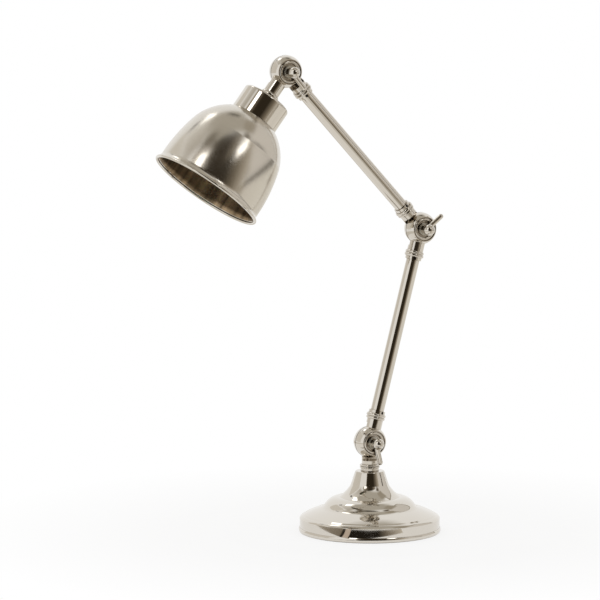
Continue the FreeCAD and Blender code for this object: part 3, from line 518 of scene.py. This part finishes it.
def paint_card(card, colours, fade=0.0):
    """Let a card show only in metal and glass. Its colours are pairs of a place from 0 to 1 and a hex colour.
    Fade is the share of its width and height over which its edges melt away."""
    material = bpy.data.materials.new(card.name)
    material.use_nodes = True
    tree = material.node_tree
    tree.nodes.remove(tree.nodes["Principled BSDF"])
    sides = add_node(tree, "ShaderNodeSeparateXYZ", None, {0: add_node(tree, "ShaderNodeUVMap").outputs[0]})
    ramp = add_node(tree, "ShaderNodeValToRGB", None, {0: sides.outputs["X"]})
    stops = ramp.color_ramp.elements
    while len(stops) < len(colours):
        stops.new(1)
    for stop, (share, hex_colour) in zip(stops, colours):
        stop.position = share
        stop.color = linear(hex_colour)
    glow = add_node(tree, "ShaderNodeEmission", {"Strength": 1.0}, {"Color": ramp.outputs[0]})
    if fade:
        melts = []
        for side in ("X", "Y"):
            from_edge = add_node(tree, "ShaderNodeMath", {"operation": "PINGPONG", 1: 0.5},
                                 {0: sides.outputs[side]}).outputs[0]
            melts.append(add_node(tree, "ShaderNodeMapRange", span(0, fade, 0, 1),
                                  {"Value": from_edge}).outputs["Result"])
        solid = add_node(tree, "ShaderNodeMath", {"operation": "MULTIPLY"}, {0: melts[0], 1: melts[1]})
        clear = add_node(tree, "ShaderNodeBsdfTransparent")
        glow = add_node(tree, "ShaderNodeMixShader", None,
                        {0: solid.outputs[0], 1: clear.outputs[0], 2: glow.outputs[0]})
    tree.links.new(glow.outputs[0], tree.nodes["Material Output"].inputs["Surface"])
    card.data.materials.append(material)
    card.visible_camera = False
    card.visible_diffuse = False
    card.visible_shadow = False


def hang_card(name, azimuth, elevation, distance, size, colours, lean=0, fade=0.0):
    """Flat studio card that faces the lamp, in colours from its left edge to its right edge. Its size is in
    metres, and it leans by an angle in degrees."""
    spot = CARDS_FACE + toward(azimuth, elevation, distance)
    turn = (CARDS_FACE - spot).to_track_quat("-Z", "Y") @ Quaternion((0, 0, 1), math.radians(lean))
    bpy.ops.object.select_all(action="DESELECT")
    bpy.ops.mesh.primitive_plane_add(size=1, location=spot, rotation=turn.to_euler())
    card = bpy.context.object
    card.name = name
    card.scale = (*size, 1)
    paint_card(card, colours, fade)


def lay_mat(name, starts, end, left, right, colours):
    """Mat laid on the floor in an arc about the lamp, in colours from its left end to its right end. The two
    starts are how far its near edge lies from the lamp at those ends, and end is how far its far edge lies."""
    bpy.ops.object.select_all(action="DESELECT")
    bpy.ops.mesh.primitive_grid_add(x_subdivisions=MAT_SEGMENTS, y_subdivisions=1, size=1, location=(0, 0, 0))
    mat = bpy.context.object
    mat.name = name
    for corner in mat.data.vertices:
        across = corner.co.x + 0.5
        start = starts[0] + across * (starts[1] - starts[0])
        turn = left + across * (right - left)
        reach = end + (corner.co.y + 0.5) * (start - end)
        corner.co = toward(turn, 0, reach) + Vector((0, 0, MAT_HEIGHT))
    paint_card(mat, colours)


def hang_lamp(name, azimuth, elevation, distance, width, height, radiance):
    """Soft box whose face shines with a given radiance, its width and height in metres."""
    spot = BOXES_FACE + toward(azimuth, elevation, distance)
    light = bpy.data.lights.new(name, "AREA")
    light.shape = "RECTANGLE"
    light.size = width
    light.size_y = height
    light.energy = radiance * math.pi * width * height
    box = bpy.data.objects.new(name, light)
    bpy.context.scene.collection.objects.link(box)
    box.location = spot
    box.rotation_euler = (BOXES_FACE - spot).to_track_quat("-Z", "Y").to_euler()


def light_world(level):
    """White world, which lights the lamp at the given level and is itself seen as plain white."""
    world = bpy.data.worlds.new("white studio")
    bpy.context.scene.world = world
    world.use_nodes = True
    tree = world.node_tree
    strength = add_node(tree, "ShaderNodeMapRange", span(0, 1, level, 1.0), {"Value": seen_directly(tree)})
    tree.links.new(strength.outputs["Result"], tree.nodes["Background"].inputs["Strength"])
    tree.nodes["Background"].inputs["Color"].default_value = (1, 1, 1, 1)


def lay_floor():
    """White paper floor. It takes the lamp's shadow, and away from the lamp it is seen as plain white."""
    bpy.ops.object.select_all(action="DESELECT")
    bpy.ops.mesh.primitive_plane_add(size=FLOOR_SIZE, location=(0, 0, 0))
    floor = bpy.context.object
    floor.name = "studio_floor"
    material, tree, paper, place = new_material("white paper floor", {
        "Base Color": linear("F4F3F1"), "Roughness": 0.9})
    glow = add_node(tree, "ShaderNodeEmission", {"Color": (1, 1, 1, 1), "Strength": 1.0})
    away = add_node(tree, "ShaderNodeVectorMath", {"operation": "LENGTH"}, {0: place}).outputs["Value"]
    whiteness = add_node(tree, "ShaderNodeMapRange", span(SHADED_TO, WHITE_FROM, SHADED_WHITENESS, 1.0),
                         {"Value": away}).outputs["Result"]
    share = add_node(tree, "ShaderNodeMath", {"operation": "MULTIPLY"},
                     {0: whiteness, 1: seen_directly(tree)}).outputs[0]
    mixed = add_node(tree, "ShaderNodeMixShader", None, {0: share, 1: paper.outputs[0], 2: glow.outputs[0]})
    tree.links.new(mixed.outputs[0], tree.nodes["Material Output"].inputs["Surface"])
    floor.data.materials.append(material)


def hang_cards():
    """Hang the room that the metal mirrors: dark behind the camera, pale at the sides and above."""
    hang_card("dark_room", 20, 13, 3.0, (5.2, 3.0), (
        (0, "B5AB9B"), (0.07, "332C22"), (0.55, "332C22"), (0.72, "7C7263"), (0.86, "B0A799"), (1, "CFC8BD")))
    hang_card("dark_upper", -5, 48, 2.9, (3.9, 1.5), (
        (0, "C0B7A8"), (0.3, "857C6E"), (0.4, "5E564A"), (0.48, "372F24"), (0.68, "3C342A"), (0.85, "8A8173"),
        (1, "B5AC9E")), fade=0.12)
    hang_card("left_flag", -43, 60, 2.8, (1.0, 0.8), ((0, "7C7364"), (1, "5E564A")), fade=0.3)
    hang_card("right_flag", 58, 49, 2.7, (0.8, 0.7), plain("6E6558"), fade=0.3)
    hang_card("left_upper", -95, 54, 3.2, (2.9, 1.3), ((0, "F4F2EE"), (1, "B5AFA4")), fade=0.2)
    hang_card("right_upper", 100, 58, 2.8, (1.9, 1.1), ((0, "A69E90"), (1, "B0A89B")), fade=0.2)
    hang_card("boom", 168, 70, 2.7, (0.8, 0.34), plain("2A241D"), fade=0.2)
    hang_card("back_stand", -129, 43, 2.6, (0.3, 0.3), plain("40382E"), fade=0.2)
    hang_card("ceiling", 0, 90, 3.0, (4.2, 4.2), plain("BDB8AE"), fade=0.2)
    hang_card("left_wall", -100, 12, 3.4, (4.0, 4.0), ((0, "E4E0D9"), (1, "E0DCD5")))
    hang_card("right_wall", 96, 20, 3.3, (4.4, 4.6), ((0, "E4E0DB"), (1, "DEDAD5")))
    hang_card("right_wall_edge", 96, 20, 3.4, (4.9, 5.1), plain("948B7C"))
    hang_card("light_stand", 77, 25, 2.6, (0.2, 2.4), plain("40382E"), lean=45)


def lay_mats():
    """Lay the mats that the metal mirrors, from the lamp's foot outwards."""
    lay_mat("near_mat", (0.088, 0.125), 0.15, -23, 40, (
        (0, "25211C"), (0.52, "25211C"), (0.72, "857B6D"), (1, "CFC8BC")))
    lay_mat("side_mat", (0.145, 0.094), 0.155, -78, -23, (
        (0, "B8B0A4"), (0.45, "9A9184"), (0.8, "857B6D"), (0.83, "2A251F"), (0.87, "2A251F"), (0.89, "CDBEB0"),
        (1, "CDBEB0")))
    lay_mat("floor_mat", (0.16, 0.16), 0.5, -180, 180, (
        (0, "FFFFFF"), (0.3, "F6F4F1"), (0.56, "F4F2EE"), (0.6, "B5AFA4"), (0.68, "D8D2C8"), (0.83, "F2EFEA"),
        (1, "FFFFFF")))
    lay_mat("middle_mat", (0.5, 0.5), 1.1, -180, 180, (
        (0, "DCD7CF"), (0.3, "DEDAD2"), (0.56, "DEDAD2"), (0.6, "B5AFA4"), (0.68, "E6E2DB"), (0.85, "F0EDE6"),
        (1, "DCD7CF")))
    lay_mat("far_mat", (1.1, 1.1), 3.6, -22, 62, (
        (0, "C9C2B6"), (0.06, "352E24"), (0.58, "3C352A"), (0.75, "7C7263"), (0.87, "B0A799"), (1, "C4BDB0")))
    lay_mat("right_mat", (1.1, 1.1), 1.95, 62, 180, ((0, "ECE8E1"), (1, "F0EDE6")))
    lay_mat("table_edge", (1.95, 1.95), 3.55, 62, 124, ((0, "40382E"), (0.6, "40382E"), (1, "5C554A")))


def place_camera(studio):
    """Camera at the settings' place, with its view dipped and panned as they say."""
    camera = bpy.data.cameras.new("camera")
    camera.lens = studio.lens
    camera.sensor_width = SENSOR_WIDTH
    camera.clip_end = VIEW_RANGE
    seat = bpy.data.objects.new("camera", camera)
    bpy.context.scene.collection.objects.link(seat)
    seat.location = (studio.camera_distance * math.sin(studio.camera_azimuth),
                     -studio.camera_distance * math.cos(studio.camera_azimuth), studio.camera_height)
    seat.rotation_euler = (math.pi / 2 - studio.camera_pitch, 0, studio.camera_azimuth + studio.camera_pan)
    bpy.context.scene.camera = seat


class DESKLAMP_OT_studio(bpy.types.Operator):
    """Set up world, floor, cards, mats, soft boxes and camera"""
    bl_idname = "desk_lamp.studio"
    bl_label = "Studio"

    def execute(self, context):
        studio = context.scene.lamp_studio
        context.scene.view_settings.view_transform = "Standard"
        light_world(studio.level)
        lay_floor()
        hang_cards()
        lay_mats()
        hang_lamp("left_soft_box", -31, 43, 2.2, 0.46, 0.46, 3.2)
        hang_lamp("back_soft_box", -134, 56, 2.2, 0.55, 0.4, 1.7)
        hang_lamp("right_soft_box", 42, 33, 2.2, 0.52, 0.32, 3)
        place_camera(studio)
        return {"FINISHED"}


class DESKLAMP_PT_panel(bpy.types.Panel):
    """Lists the settings and operators of the desk lamp."""
    bl_idname = "DESKLAMP_PT_panel"
    bl_label = "Desk Lamp"
    bl_space_type = "VIEW_3D"
    bl_region_type = "UI"
    bl_category = "Desk Lamp"

    def draw(self, context):
        for group in (context.scene.lamp_finish, context.scene.lamp_studio):
            for name in group.bl_rna.properties.keys():
                if name not in ("rna_type", "name"):
                    self.layout.prop(group, name)
        for operator in OPERATORS:
            self.layout.operator(operator.bl_idname)


OPERATORS = (
    DESKLAMP_OT_base,
    DESKLAMP_OT_knuckles,
    DESKLAMP_OT_keys,
    DESKLAMP_OT_arms,
    DESKLAMP_OT_fixings,
    DESKLAMP_OT_head,
    DESKLAMP_OT_studio,
)
CLASSES = (LampFinish, LampStudio) + OPERATORS + (DESKLAMP_PT_panel,)


def register():
    """Register the classes and hang the settings on the scene."""
    for cls in CLASSES:
        bpy.utils.register_class(cls)
    bpy.types.Scene.lamp_finish = PointerProperty(type=LampFinish)
    bpy.types.Scene.lamp_studio = PointerProperty(type=LampStudio)


def unregister():
    """Take the settings off the scene and unregister the classes."""
    del bpy.types.Scene.lamp_studio
    del bpy.types.Scene.lamp_finish
    for cls in reversed(CLASSES):
        bpy.utils.unregister_class(cls)


def main():
    """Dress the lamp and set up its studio."""
    register()
    bpy.ops.desk_lamp.base()
    bpy.ops.desk_lamp.knuckles()
    bpy.ops.desk_lamp.keys()
    bpy.ops.desk_lamp.arms()
    bpy.ops.desk_lamp.fixings()
    bpy.ops.desk_lamp.head()
    bpy.ops.desk_lamp.studio()


if __name__ == "__main__":
    main()
